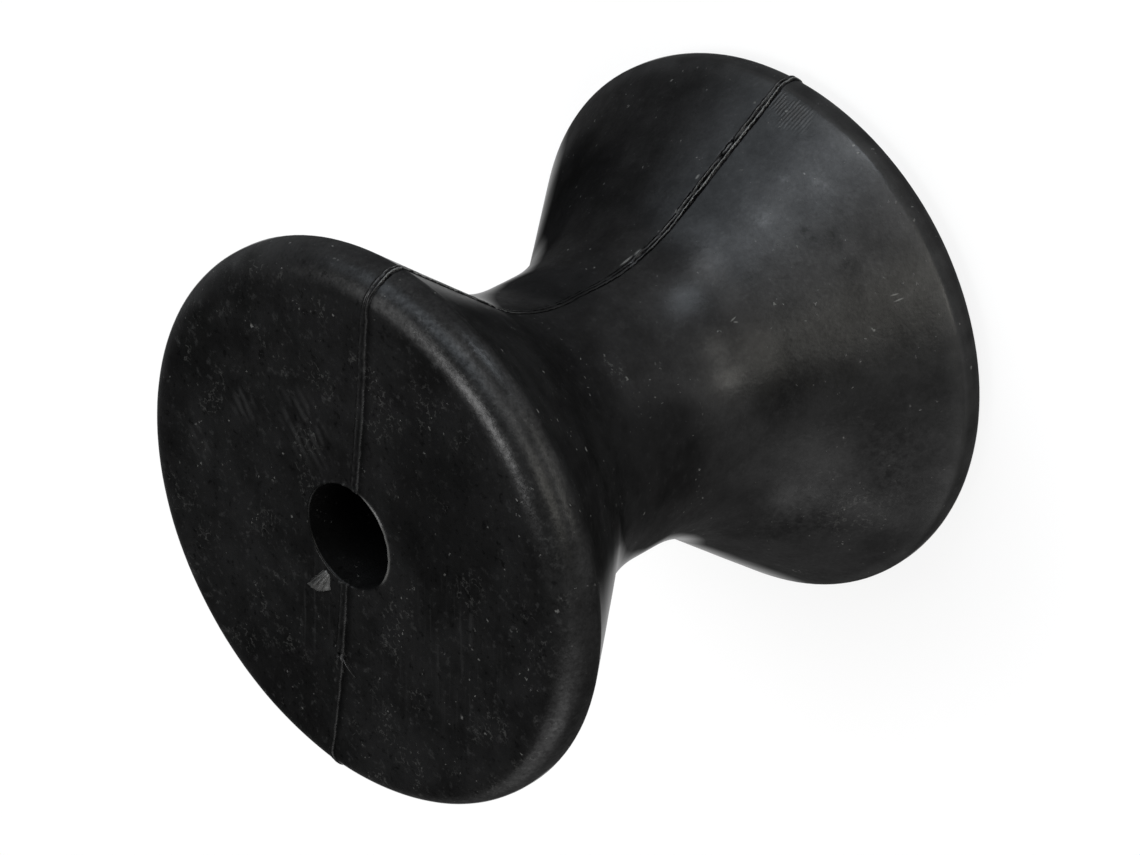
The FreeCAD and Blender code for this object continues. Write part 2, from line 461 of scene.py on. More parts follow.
def grid_mesh(name, points):
    """A mesh from a grid of points that closes on itself both ways."""
    rows, columns = points.shape[:2]
    index = np.arange(rows * columns).reshape(rows, columns)
    right = np.roll(index, -1, axis=1)
    up = np.roll(index, -1, axis=0)
    corner = np.roll(up, -1, axis=1)
    faces = np.stack([index, up, corner, right], axis=2).reshape(-1, 4)
    return smooth_mesh(name, points, faces.tolist())


def keep(mesh, name, values):
    """Stores a value for each point for the material to read.

    The value for worn rubber and painted light is 1 where the rubber is worn or painted lighter and -1 where
    painted shade darkens it, "seam" is the place across the parting line, and "dull" and "bare" are 1 where
    the bloom is duller and where it is worn thin. "curled" is 1 where the flares show fine curled marks.
    """
    attribute = mesh.attributes.new(name, "FLOAT", "POINT")
    attribute.data.foreach_set("value", values.reshape(-1).astype(np.float32))


def plain_marks(mesh):
    """Gives a small piece the values the spool stores, with nothing worn, no painted light or shade, no
    parting line.
    """
    count = len(mesh.vertices)
    keep(mesh, "wear", np.zeros(count))
    keep(mesh, "seam", np.full(count, SEAM_FAR))
    for name in ("dull", "bare", "curled"):
        keep(mesh, name, np.zeros(count))


def smooth_curve(poles, count):
    """Points along the smooth curve that a few poles draw."""
    poles = np.array(poles, float)
    share = np.linspace(0, 1, count)[:, None]
    order = len(poles) - 1
    terms = []
    for k, pole in enumerate(poles):
        terms.append(math.comb(order, k) * share ** k * (1 - share) ** (order - k) * pole)
    return sum(terms)


def ring_mesh(name, rings):
    """A closed mesh through a row of rings of points, capped at both ends."""
    rows, columns = rings.shape[:2]
    index = np.arange(rows * columns).reshape(rows, columns)
    beside = np.roll(index, -1, axis=1)
    faces = np.stack([index[:-1], beside[:-1], beside[1:], index[1:]], axis=2).reshape(-1, 4).tolist()
    faces += [index[0, ::-1].tolist(), index[-1].tolist()]
    mesh = smooth_mesh(name, rings, faces)
    plain_marks(mesh)
    return mesh


# The flake of flash torn off the bore's rim: its root and its ragged end, with heights over the upper face
TAB_ROOT = ((-6.60, 3.30, -0.10), (-6.95, 2.75, 0.10), (-7.20, 2.30, -0.10))
TAB_END = (
    (-9.00, 5.00, 0.10),
    (-10.3, 5.70, 0.15),
    (-10.0, 4.55, 0.50),
    (-9.9, 3.45, 0.45),
    (-9.10, 2.05, 0.12),
)
TAB_LIFT = 0.45
# The height of its folds, how many there are, and how far they swing sideways along it, in radians
TAB_FOLD = 0.17
TAB_FOLDS = 4.5
TAB_FOLD_SWING = 2.0
# The share of half a turn over which the lift fades in and out along it
TAB_ARCH = 0.9
# How far its end is crumpled, by lumps of what size and seed
TAB_CRUMPLE = 0.12
TAB_CRUMPLE_WAVE = (0.5, 11)
# Its thickness, the share of it lost towards the end, and how bluntly its sides thin out
TAB_THICKNESS = 0.16
TAB_THINNING = 0.7
TAB_SIDES = (0.02, 0.98)
TAB_BLUNTNESS = 0.3
TAB_ROWS = 26
TAB_COLUMNS = 36


def spread(row, share):
    """Points at even shares across a row of given points."""
    row = np.array(row)
    at = np.linspace(0, 1, len(row))
    return np.stack([np.interp(share, at, row[:, k]) for k in range(3)], axis=-1)


def make_tab():
    """A thin fan of torn rubber with folds along it, thinner at its edges."""
    across = np.linspace(0, 1, TAB_COLUMNS)
    along = np.linspace(0, 1, TAB_ROWS)[:, None, None]
    sheet = spread(TAB_ROOT, across) * (1 - along) + spread(TAB_END, across) * along
    fade = np.sin(along[..., 0] * math.pi * TAB_ARCH)
    folds = TAB_FOLD * np.sin(across * TAB_FOLDS * 2 * math.pi + TAB_FOLD_SWING * along[..., 0])
    sheet[..., 2] += LENGTH + fade * (TAB_LIFT * np.sin(across * math.pi) + folds)
    sheet += TAB_CRUMPLE * along * wave(sheet, *TAB_CRUMPLE_WAVE)[..., None]
    edge = np.sin(np.clip(across, *TAB_SIDES) * math.pi) ** TAB_BLUNTNESS
    thick = TAB_THICKNESS * edge * (1 - TAB_THINNING * along[..., 0])
    over = sheet.copy()
    under = sheet[:, ::-1].copy()
    over[..., 2] += thick / 2
    under[..., 2] -= thick[:, ::-1] / 2
    return ring_mesh("flash_tab", np.concatenate([over, under], axis=1))


# The thin strand that hangs off the parting line: the poles of its curve, with heights over the upper face
HAIR_POLES = ((-17.60, -0.70, 0.10), (-17.60, -1.50, 0.50), (-18.40, -2.00, 0.55), (-19.30, -3.15, 0.10))
HAIR_RADIUS = 0.11
HAIR_THINNING = 0.5
HAIR_ROWS = 24
HAIR_COLUMNS = 10


def make_hair():
    """A round strand that thins towards its free end."""
    line = smooth_curve(HAIR_POLES, HAIR_ROWS)
    line[:, 2] += LENGTH
    ahead = np.gradient(line, axis=0)
    side = np.cross(ahead, (0, 0, 1))
    side /= np.linalg.norm(side, axis=1)[:, None]
    above = np.cross(side, ahead)
    above /= np.linalg.norm(above, axis=1)[:, None]
    thin = HAIR_RADIUS * (1 - HAIR_THINNING * np.linspace(0, 1, len(line)))[:, None, None]
    turn = np.linspace(0, 2 * math.pi, HAIR_COLUMNS, endpoint=False)[:, None]
    ring = side[:, None, :] * np.cos(turn) + above[:, None, :] * np.sin(turn)
    return ring_mesh("flash_hair", line[:, None, :] + thin * ring)


def add_piece(name, mesh, material):
    piece = bpy.data.objects.new(name, mesh)
    mesh.materials.append(material)
    bpy.context.scene.collection.objects.link(piece)
    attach(piece, BODY)
    return piece


# How strongly each cause lightens the rubber, and between which measures of it. The crests are partly worn
# and partly painted highlight, the rims partly worn and partly painted light, one side of the upper rim is
# painted light, the lip's crest has a painted highlight, and the lumps are lighter
CREST_SCUFF = 0.5
CREST_RISE = (0.24, 0.45)
UPPER_RIM_SCUFF = 0.12
LOWER_RIM_SCUFF = 0.32
RIM_ZONE = (CHEEK_R - 2.2, CHEEK_R - 0.4)
RIM_SCUFFS = (1.0, ((0.6, 2.5, 14),))
SIDE_SCUFF = 0.36
SIDE_ZONE = (CHEEK_R - 4.8, CHEEK_R - 1.2)
SIDE_FACING = (0.0, 0.8)
SIDE_SCUFFS = (1.0, ((0.5, 2.5, 15),))
LIP_SCUFF = 0.4
LIP_RISE = (0.11, 0.26)
LUMP_RISE = (0.05, 0.3)
# How strongly painted shade darkens the groove, the pits, the bore, the mouth and the shaded zones, and
# between which measures of it
GROOVE_FALL = (-0.08, -0.2)
PIT_FALL = (-0.03, -0.15)
BORE_SHADE = 0.35
MOUTH_SHADE = 0.55
ZONE_SHADE = 0.46
# The side of the bore's mouth that is left without painted shade: which way it faces, and how far round it
# reaches
MOUTH_LIGHT_TOWARDS = -1.05
MOUTH_LIGHT_SPREAD = 1.3


def spool_wear(points, section, angles, relief, lip, lumps):
    """1 where the rubber is worn or painted lighter, -1 where painted shade darkens its pits, groove, bore
    and mouth.
    """
    radius = section[:, :1]
    is_upper = section[:, 1:2] > 0
    stretch = section[:, 2:]
    round_x = np.cos(angles)
    round_y = np.sin(angles)
    # The crests: partly worn and partly painted highlight. The groove: painted shade
    wear = CREST_SCUFF * smooth_step(*CREST_RISE, relief) - smooth_step(*GROOVE_FALL, relief)
    # The rims: partly worn and partly painted light
    worn_rim = smooth_step(*RIM_ZONE, radius) * wavering(points, *RIM_SCUFFS)
    wear = wear + np.where(is_upper, UPPER_RIM_SCUFF, LOWER_RIM_SCUFF) * worn_rim
    # One side of the upper rim: painted light
    scuffed_side = smooth_step(*SIDE_ZONE, radius) * smooth_step(*SIDE_FACING, round_y)
    wear = wear + SIDE_SCUFF * scuffed_side * is_upper * wavering(points, *SIDE_SCUFFS)
    # The lip's crest: painted highlight. The lumps: lighter
    wear = wear + LIP_SCUFF * smooth_step(*LIP_RISE, lip) + smooth_step(*LUMP_RISE, lumps)
    # Painted shade in the pits and the bore, and round the mouth but for its lit side
    wear = wear - smooth_step(*PIT_FALL, lumps) - BORE_SHADE * (stretch == BORE)
    shaded = 1 - bell(np.arctan2(round_y, round_x) - MOUTH_LIGHT_TOWARDS, MOUTH_LIGHT_SPREAD)
    return wear - MOUTH_SHADE * shaded * (stretch == MOUTH)


def spool_grid(section):
    """The plain spool's points, the directions that they face, and their angles round the bore."""
    normals = section_normals(section)
    angles = column_angles(section[:, 0])
    round_x = np.cos(angles)
    round_y = np.sin(angles)
    radius = section[:, :1]
    height = section[:, 1:2]
    points = np.stack([radius * round_x, radius * round_y, height + HALF + 0 * angles], axis=2)
    outward = np.stack([
        normals[:, :1] * round_x,
        normals[:, :1] * round_y,
        normals[:, 1:] + 0 * angles,
    ], axis=2)
    return points, outward, angles


# How far from its plane the parting line's relief reaches
SEAM_REACH = 7.5
# The rubber's own unevenness: mean, and waves of strength, size and seed
UNEVEN = (0.0, ((0.05, 15.0, 1), (0.015, 4.0, 2)))
# The heights over which the relief comes in, so that the spool stands flat
FOOT_ZONE = (-HALF + 0.05, -HALF + 1.5)


def make_spool():
    """The roller with its parting line, lip and lumps, and with the values that its material reads."""
    section = spool_section()
    radius = section[:, :1]
    height = section[:, 1:2]
    points, outward, angles = spool_grid(section)
    under = smooth_step(*FOOT_ZONE, height)
    unevenness = wavering(points, *UNEVEN)
    relief = np.zeros(points.shape[:2])
    seam = SEAM_FAR * np.sign(points[..., 1])
    for side in (1, -1):
        near = (np.abs(points[..., 1]) < SEAM_REACH) & (points[..., 0] * side > 0)
        crests, step, across = seam_relief(points, section, side)
        relief = relief + np.where(near, crests, 0)
        seam = np.where(near & (section[:, 2:] != BORE), np.clip(across, -SEAM_FAR, SEAM_FAR), seam)
        unevenness = unevenness + np.where(near, step, 0)
    points = points + outward * ((relief + unevenness) * under)[..., None]
    lip = lip_relief(points, radius, height)
    lumps = lump_relief(points)
    points[..., 2] += lip + lumps
    mesh = grid_mesh("spool", points)
    wear = spool_wear(points, section, angles, relief, lip, lumps)
    uneven = wavering(points, *EDGE_WAVER)
    # Painted shade over the shaded zones
    wear = wear - ZONE_SHADE * area_mask(points, DARK_ZONES, WIDE_CORE, uneven)
    keep(mesh, "wear", np.clip(wear, -1, 1))
    keep(mesh, "seam", seam)
    keep(mesh, "dull", area_mask(points, DULL_PATCHES, NO_CORE, uneven))
    keep(mesh, "bare", area_mask(points, BARE_ZONES, WIDE_CORE, uneven))
    keep(mesh, "curled", area_mask(points, CURLED_PATCHES, WIDE_CORE, uneven))
    return mesh


def shade(tree, kind, inputs=None, **settings):
    """Adds a shader node. An input's value is a number, a tuple or another node's socket."""
    node = tree.nodes.new(kind)
    for name, value in settings.items():
        setattr(node, name, value)
    for key, value in (inputs or {}).items():
        if isinstance(value, bpy.types.NodeSocket):
            tree.links.new(value, node.inputs[key])
        else:
            node.inputs[key].default_value = value
    return node


def math_node(tree, operation, first, second=0.0, third=0.0):
    return shade(tree, "ShaderNodeMath", {0: first, 1: second, 2: third}, operation=operation).outputs[0]


def product(tree, first, *others):
    for other in others:
        first = math_node(tree, "MULTIPLY", first, other)
    return first


def vector_node(tree, operation, *inputs):
    return shade(tree, "ShaderNodeVectorMath", dict(enumerate(inputs)), operation=operation).outputs[0]


def length_node(tree, vector):
    return shade(tree, "ShaderNodeVectorMath", {0: vector}, operation="LENGTH").outputs["Value"]


NOISE_MIDDLE = 0.5


def noise_node(tree, place, size, detail=2.0, roughness=0.5):
    """Noise from 0 to 1 with lumps of about that many millimetres."""
    inputs = {"Vector": place, "Scale": 1 / size, "Detail": detail, "Roughness": roughness}
    return shade(tree, "ShaderNodeTexNoise", inputs).outputs["Fac"]


def ramp_node(tree, value, low, high, to_low=0.0, to_high=1.0):
    """Maps a stretch of values smoothly onto another."""
    inputs = {"Value": value, "From Min": low, "From Max": high, "To Min": to_low, "To Max": to_high}
    return shade(tree, "ShaderNodeMapRange", inputs, interpolation_type="SMOOTHSTEP").outputs[0]


def mix_node(tree, share, first, second):
    inputs = {"Factor": share, "A": first, "B": second}
    return shade(tree, "ShaderNodeMix", inputs, data_type="RGBA").outputs["Result"]


def mark_node(tree, name):
    """Reads a value that keep() stored."""
    return shade(tree, "ShaderNodeAttribute", attribute_name=name).outputs["Fac"]


def radius_node(tree, place):
    """The distance from the bore's axis."""
    return length_node(tree, vector_node(tree, "MULTIPLY", place, (1, 1, 0)))


# The share of the largest radius over which a speck's edge comes in
SPECK_EDGE = 0.25


def specks(tree, place, spacing, kept, radius):
    """Scattered specks: one in each cell of a random pattern, of which only a share is kept."""
    cell = shade(tree, "ShaderNodeTexVoronoi", {"Vector": place, "Scale": 1 / spacing})
    chance = shade(tree, "ShaderNodeSeparateColor", {0: cell.outputs["Color"]})
    is_kept = math_node(tree, "LESS_THAN", chance.outputs[0], kept)
    size = math_node(tree, "MULTIPLY", chance.outputs[1], radius / spacing)
    near = math_node(tree, "SUBTRACT", size, cell.outputs["Distance"])
    dot = ramp_node(tree, near, 0.0, SPECK_EDGE * radius / spacing)
    return product(tree, dot, is_kept)


def local_node(tree, place, centre=(0, 0, 0), turn=(0, 0, 0), unit=(1, 1, 1)):
    """The place as seen from a centre, with a turn and a unit of length along each axis."""
    inputs = {"Vector": place, "Location": centre, "Rotation": turn, "Scale": unit}
    return shade(tree, "ShaderNodeMapping", inputs, vector_type="TEXTURE").outputs[0]


def blot(tree, place, centre, reach, turn=(0, 0, 0), core=WIDE_CORE):
    """A soft spot: 1 in its core, 0 from its reach outwards, which is in millimetres along each axis."""
    local = local_node(tree, place, centre, turn, reach)
    return ramp_node(tree, length_node(tree, local), 1.0, core)


def brightest(tree, masks):
    """The greatest of several masks at each place.

    The masks may still be in the making: each is joined to the rest before the next one's nodes are added,
    so that the renderer never has to hold many of them at once.
    """
    result = 0.0
    for mask in masks:
        result = math_node(tree, "MAXIMUM", mask, result)
    return result


def tool_marks(tree, place, centre, turn, reach, spacing):
    """Wavering parallel lines that fade out round a centre."""
    local = local_node(tree, place, centre, (0, 0, turn))
    inputs = {"Vector": local, "Scale": WAVE_PERIOD / spacing, **TOOL_WAVER}
    lines = shade(tree, "ShaderNodeTexWave", inputs, wave_profile="SIN", bands_direction="X").outputs["Fac"]
    fade = blot(tree, place, centre, reach, (0, 0, turn))
    broken = ramp_node(tree, noise_node(tree, place, TOOL_BREAK_SIZE), *TOOL_BREAKS)
    return product(tree, lines, fade, broken)


# How the lines of the parting line stray: size in millimetres, reach in half-widths
SEAM_WOBBLES = ((0.7, 0.9), (0.22, 0.7))
# The lines along the parting line, with painted highlights on the crests and painted shade in the groove and
# along the edges: place across it and width, both in half-widths
UPPER_CREST_LINE = (1.0, 0.36)
LOWER_CREST_LINE = (-1.0, 0.32)
GROOVE_LINE = (0.0, 0.5)
LOWER_EDGE_LINE = (-1.8, 0.5)
UPPER_EDGE_LINE = (1.7, 0.35)
# The x below which only the lower crest and edge are left of them, and the x from which all are there
SEAM_END = (-20.5, -18.5)
# The radii between which the crests' painted highlights come in on the flares
CREST_RADII = (19.5, 24.0)
# The places across the line between which the band of painted shadow beside it comes in, and goes out again
STRIP_OUTER = (-SEAM_FAR + 0.4, -1.8)
STRIP_INNER = (-1.1, -1.5)
# The noises that break up some of the lines and thin out the others: size and detail
BREAK_NOISE = (1.1, 3.0)
THIN_NOISE = (2.0, 3.0)
# The values that they are mapped from, and to
BREAK_LEVELS = (0.36, 0.60, 0.1, 1.0)
THIN_LEVELS = (0.3, 0.55, 0.35, 1.0)
# The share of a line's width over which it is at its full strength
LINE_CORE = 0.3


def fine_line(tree, value, middle, width):
    """1 along the line where a value has its middle, 0 from a width away."""
    off = math_node(tree, "ABSOLUTE", math_node(tree, "SUBTRACT", value, middle))
    return ramp_node(tree, off, width, LINE_CORE * width)


def seam_marks(tree, place, upper):
    """The parting line's painted highlights on its crests, painted shade in its groove and edges, and painted
    shadow beside it.
    """
    seam = mark_node(tree, "seam")
    for size, reach in SEAM_WOBBLES:
        shift = math_node(tree, "SUBTRACT", noise_node(tree, place, size), NOISE_MIDDLE)
        seam = math_node(tree, "MULTIPLY_ADD", shift, reach, seam)
    broken = ramp_node(tree, noise_node(tree, place, *BREAK_NOISE), *BREAK_LEVELS)
    whole = ramp_node(tree, noise_node(tree, place, *THIN_NOISE), *THIN_LEVELS)
    x = shade(tree, "ShaderNodeSeparateXYZ", {0: place}).outputs["X"]
    broken = product(tree, broken, ramp_node(tree, x, *SEAM_END))
    upper_crest = product(tree, fine_line(tree, seam, *UPPER_CREST_LINE), broken)
    lower_crest = product(tree, fine_line(tree, seam, *LOWER_CREST_LINE), whole)
    groove = product(tree, fine_line(tree, seam, *GROOVE_LINE), broken)
    lower_edge = product(tree, fine_line(tree, seam, *LOWER_EDGE_LINE), whole)
    upper_edge = product(tree, fine_line(tree, seam, *UPPER_EDGE_LINE), broken)
    flared = ramp_node(tree, radius_node(tree, place), *CREST_RADII)
    crested = math_node(tree, "MAXIMUM", flared, upper)
    crests = product(tree, brightest(tree, [upper_crest, lower_crest]), crested)
    strip = product(tree, ramp_node(tree, seam, *STRIP_OUTER), ramp_node(tree, seam, *STRIP_INNER))
    return crests, brightest(tree, [groove, lower_edge, upper_edge]), strip


# The noise that draws the curled marks: size, detail and roughness, and how wide a band of it shows
CURL_NOISE = (1.5, 3.0, 0.6)
CURL_WIDTH = 0.035
# The noise that breaks them up: its size, and the values between which they come in
CURL_BREAK_SIZE = 0.8
CURL_BREAKS = (0.42, 0.58)
# The same for the noise that puts them in patches on the upper face: size and detail, and the values
CURL_PATCH_NOISE = (5.5, 2.0)
CURL_PATCH_LEVELS = (0.54, 0.66)


def curls(tree, place, upper):
    """Hair-fine curled marks in patches: the lines along which a noise has its middle value."""
    line = fine_line(tree, noise_node(tree, place, *CURL_NOISE), NOISE_MIDDLE, CURL_WIDTH)
    broken = ramp_node(tree, noise_node(tree, place, CURL_BREAK_SIZE), *CURL_BREAKS)
    on_face = ramp_node(tree, noise_node(tree, place, *CURL_PATCH_NOISE), *CURL_PATCH_LEVELS)
    on_face = product(tree, on_face, upper)
    patch = brightest(tree, [on_face, mark_node(tree, "curled")])
    return product(tree, line, broken, patch)


def lip_mark(tree, place, upper):
    """The painted highlight on the lip's crest, on the side of the bore where it stands tall."""
    edge = fine_line(tree, radius_node(tree, place), BORE_R + LIP_OFF, LIP_LINE_WIDTH)
    edge = product(tree, edge, upper)
    return product(tree, edge, blot(tree, place, *LIP_SIDE, core=LIP_SIDE_CORE))


def smears(tree, place):
    """Faint streaks wiped along the upper face beside the parting line."""
    long_ways = local_node(tree, place, turn=(0, 0, SMEAR_TURN), unit=SMEAR_STRETCH)
    streaky = ramp_node(tree, noise_node(tree, long_ways, *SMEAR_NOISE), *SMEAR_LEVELS)
    masks = (blot(tree, place, centre, reach, (0, 0, SMEAR_TURN)) for centre, reach in SMEARS)
    return product(tree, streaky, brightest(tree, masks))


# A wave texture's scale for lines one millimetre apart, and how they waver
WAVE_PERIOD = 0.314
TOOL_WAVER = {"Distortion": 2.2, "Detail": 2.0, "Detail Scale": 1.2}
# The noise that breaks them up: its size, and the values between which they come in
TOOL_BREAK_SIZE = 2.2
TOOL_BREAKS = (0.35, 0.6)
# Where the lines left by the mould maker's tool show: centre, turn, reach in millimetres, spacing
TOOL_MARKS = (
    ((11.2, 8.4, LENGTH), math.radians(-48), (5.5, 7.0, 6), 1.45),
    ((8.8, 18.8, LENGTH), math.radians(-46), (3.6, 4.2, 6), 1.4),
    ((-0.8, 25.3, LENGTH), math.radians(-45), (3.4, 4.0, 6), 1.35),
    ((34.4, -3.2, 7.0), math.radians(80), (4.5, 3.0, 3), 0.45),
)
# Which way the smears run, and how much longer than wide they are drawn
SMEAR_TURN = math.radians(6)
SMEAR_STRETCH = (12.0, 0.9, 1.0)
# The noise that draws their streaks: size, detail and roughness, and the values between which they come in
SMEAR_NOISE = (1.0, 3.0, 0.6)
SMEAR_LEVELS = (0.5, 0.75)
# Smeared areas of the upper face: centre and reach
SMEARS = (
    ((-5.0, -19.0, LENGTH), (16, 10, 3)),
    ((-17.0, -8.0, LENGTH), (9, 5, 3)),
    ((-12.0, 5.0, LENGTH), (10, 6, 3)),
)
# The side of the bore where the lip stands tall and has its painted highlight: centre and reach
LIP_SIDE = ((2.6, -5.0, LENGTH), (6.6, 5.8, 3.0))
LIP_SIDE_CORE = 0.75
LIP_LINE_WIDTH = 0.30
# Fine dust, and coarser motes, at random places: spacing, share kept, largest radius
DUST = (0.62, 0.38, 0.19)
SCATTERED_MOTES = (2.6, 0.10, 0.28)
# Bits of dust that stand out: centre and size
MOTES = (
    ((13.8, -21.6, 76.0), 0.24), ((15.4, -26.4, 76.0), 0.20), ((9.8, -24.7, 76.0), 0.22),
    ((3.7, -15.8, 76.0), 0.20), ((-3.2, -10.2, 76.0), 0.18), ((-4.9, -22.3, 76.0), 0.24),
    ((-14.5, -20.5, 76.0), 0.40), ((-14.6, -24.4, 76.0), 0.32), ((-14.3, -30.1, 75.8), 0.24),
    ((8.3, -32.8, 75.5), 0.26), ((14.5, -29.7, 75.9), 0.24), ((-2.4, 9.4, 76.0), 0.22),
    ((20.4, 18.1, 76.0), 0.30), ((5.6, 11.6, 76.0), 0.26), ((28.9, 5.0, 75.9), 0.20),
    ((22.0, -11.3, 76.0), 0.22), ((-29.3, 5.4, 76.0), 0.26), ((-25.5, 8.3, 76.0), 0.20),
    ((14.6, -11.9, 42.5), 0.30), ((27.5, -22.0, 69.8), 0.36), ((17.8, -21.7, 60.4), 0.34),
    ((24.1, -13.8, 60.0), 0.30), ((30.7, -14.0, 67.8), 0.24), ((16.8, -8.9, 43.6), 0.22),
    ((7.8, -22.7, 55.0), 0.24), ((26.0, -18.0, 64.6), 0.26), ((16.5, -13.3, 50.7), 0.22),
    ((30.1, -10.0, 10.8), 0.24), ((16.1, -25.3, 13.0), 0.30), ((9.7, -21.5, 21.6), 0.16),
    ((9.7, -22.8, 20.0), 0.16), ((33.4, -12.6, 5.4), 0.22), ((11.4, -34.1, 3.8), 0.24),
)
# Scratches on the lower flare, and light burrs on its parting line: centre, reach, turn
SCRATCHES = (
    ((19.5, -26.0, 9.7), (1.5, 0.14, 0.4), (0.0, 0.5, -0.9)),
    ((20.1, -25.5, 9.9), (1.0, 0.12, 0.4), (0.0, 0.5, -1.1)),
    ((16.6, -13.3, 25.3), (0.7, 0.12, 0.4), (0.0, 0.6, -0.2)),
    ((16.3, -13.8, 25.3), (0.12, 0.45, 0.4), (0.0, 0.0, 0.0)),
    ((20.2, 0.60, 28.0), (0.7, 0.34, 0.8), (0.0, 0.0, 0.0)),
    ((19.6, 0.78, 29.7), (0.7, 0.22, 1.7), (0.0, 0.0, 0.0)),
    ((26.7, 1.20, 17.5), (0.5, 0.24, 0.5), (0.0, 0.0, 0.0)),
)
# Patches of the lower flare that shine more: centre and reach
SHINY_PATCHES = (
    ((29.2, -8.1, 12.7), (1.0, 1.5, 1.0)),
    ((29.9, -12.2, 10.1), (2.2, 2.6, 2.0)),
    ((25.6, -9.2, 16.8), (2.0, 2.6, 2.4)),
)


# The heights between which the upper face's own marks come in
FACE_ZONE = (73.5, 75.6)
# The rubber's patterns: size of their lumps in millimetres, detail, roughness
CLOUDS = (14.0, 3.0, 0.55)
MOTTLE = (1.2, 4.0, 0.68)
PATCHES = (4.0, 5.0, 0.6)
GRAIN = (0.45, 3.0, 0.6)
FINE_PATCHES = (1.1, 4.0, 0.7)
CLUSTERS = (4.0, 3.0)
FLICKER = (0.6, 4.0, 0.75)
# The shares of clouds and patches in the rubber's tint
TINT_SHARES = (0.6, 0.4)
# The values of a pattern between which each mark comes in
FLECK_LEVELS = (0.56, 0.72)
POCK_LEVELS = (0.43, 0.30)
CLUSTER_LEVELS = (0.5, 0.66)
TINT_LEVELS = (0.35, 0.65)
# The values that a pattern is mapped from, and to
FINE_PATCH_LEVELS = (0.3, 0.7, 0.1, 0.8)
BLOOM_LEVELS = (0.3, 0.7, 0.88, 1.12)
ROUGHNESS_LEVELS = (0.3, 0.7, -0.08, 0.08)
# How far the dust's places wobble, in millimetres, and the noise that moves them
DUST_WOBBLE = 0.8
WOBBLE_NOISE = {"Scale": 2.2, "Detail": 2.0}

# The marks' colours
# Painted shade in pits, grooves, the bore, the shaded zones and beside the parting line
PIT_COLOUR = (0.001, 0.001, 0.001, 1)
POCK_COLOUR = (0.0012, 0.0012, 0.0012, 1)
FLECK_COLOUR = (0.015, 0.015, 0.015, 1)
SMEAR_COLOUR = (0.016, 0.016, 0.016, 1)
TOOL_COLOUR = (0.017, 0.017, 0.017, 1)
# Worn rubber, and painted light on the crests, the rims, one side of the upper rim and the lip
WORN_COLOUR = (0.03, 0.03, 0.03, 1)
# A painted highlight on the lip's crest
LIP_COLOUR = (0.05, 0.05, 0.048, 1)
# Painted highlights on the parting line's crests
CREST_COLOUR = (0.085, 0.085, 0.083, 1)
DUST_COLOUR = (0.11, 0.11, 0.105, 1)
# How much of each mark shows
SMEAR_SHARE = 0.6
FLECK_SHARE = 0.7
POCK_SHARE = 0.7
TOOL_SHARE = 0.6
CURL_SHARE = 0.27
# The painted shadow beside the parting line
STRIP_SHARE = 0.55
SPECKLE_SHARE = 0.55
# The same for what differs between the flares and the upper face: the mottle, the crests' painted highlights
# and the painted shade along the parting line
MOTTLE_SHARES = (0.4, 1.0)
CREST_SHARES = (0.95, 0.08)
LINE_SHARES = (0.97, 0.4)
# Relief, in millimetres, and how much of the parting line's there is on the flares and on the upper face
GRAIN_HEIGHT = 0.018
PATCH_HEIGHT = 0.03
DUST_HEIGHT = 0.05
TOOL_HEIGHT = 0.07
MOTTLE_HEIGHT = 0.03
CREST_HEIGHT = 0.06
LINE_DEPTH = 0.08
LINE_RELIEF = (1.2, 0.3)

# The rubber's gloss is a thin waxy bloom: its weight, the shares of it left at a slant and where worn, the
# weight of the glare at grazing angles, and its roughness
BLOOM_WEIGHT = 0.40
BLOOM_GRAZING = 0.16
BARE_BLOOM = 0.22
GLARE_WEIGHT = 0.8
BLOOM_ROUGHNESS = 0.31
RUBBER_SPECULAR = 0.0
# The slants between which the bloom weakens, and the glare comes in: 0 is face on and 1 edge on
SLANT_ZONE = (0.05, 0.52)
GLARE_ZONE = (0.82, 0.98)
# How much the bloom flickers below the first height and above the second
FLICKER_ZONE = (67.0, 70.5)
FLICKER_STRENGTHS = (0.9, 2.6)


def place_nodes(tree, marks):
    """Where a point is, in millimetres, and whether it is on the upper face."""
    metres = shade(tree, "ShaderNodeTexCoord").outputs["Object"]
    marks.place = vector_node(tree, "MULTIPLY", metres, (1 / MM,) * 3)
    wobble = shade(tree, "ShaderNodeTexNoise", {"Vector": marks.place, **WOBBLE_NOISE}).outputs["Color"]
    offset = vector_node(tree, "SUBTRACT", wobble, (NOISE_MIDDLE,) * 3)
    marks.ragged = vector_node(tree, "MULTIPLY_ADD", offset, (DUST_WOBBLE,) * 3, marks.place)
    marks.height_up = shade(tree, "ShaderNodeSeparateXYZ", {0: marks.place}).outputs["Z"]
    marks.upper = ramp_node(tree, marks.height_up, *FACE_ZONE)


def pattern_nodes(tree, marks):
    """The parting line's painted highlights, shade and shadow, and the clouds, mottle, patches and grain of
    the rubber itself.
    """
    on_face = ramp_node(tree, marks.upper, 0.0, 1.0, *MOTTLE_SHARES)
    marks.crest, marks.dark_line, marks.strip = seam_marks(tree, marks.place, marks.upper)
    marks.cloud = noise_node(tree, marks.place, *CLOUDS)
    marks.mottle = noise_node(tree, marks.place, *MOTTLE)
    marks.flecks = product(tree, ramp_node(tree, marks.mottle, *FLECK_LEVELS), on_face)
    marks.pocks = product(tree, ramp_node(tree, marks.mottle, *POCK_LEVELS), on_face)
    marks.patch = noise_node(tree, marks.place, *PATCHES)
    marks.grain = noise_node(tree, marks.place, *GRAIN)
    marks.fine_patch = ramp_node(tree, noise_node(tree, marks.place, *FINE_PATCHES), *FINE_PATCH_LEVELS)
    clouded = product(tree, marks.cloud, TINT_SHARES[0])
    patched = product(tree, marks.patch, TINT_SHARES[1])
    marks.tint = math_node(tree, "ADD", clouded, patched)


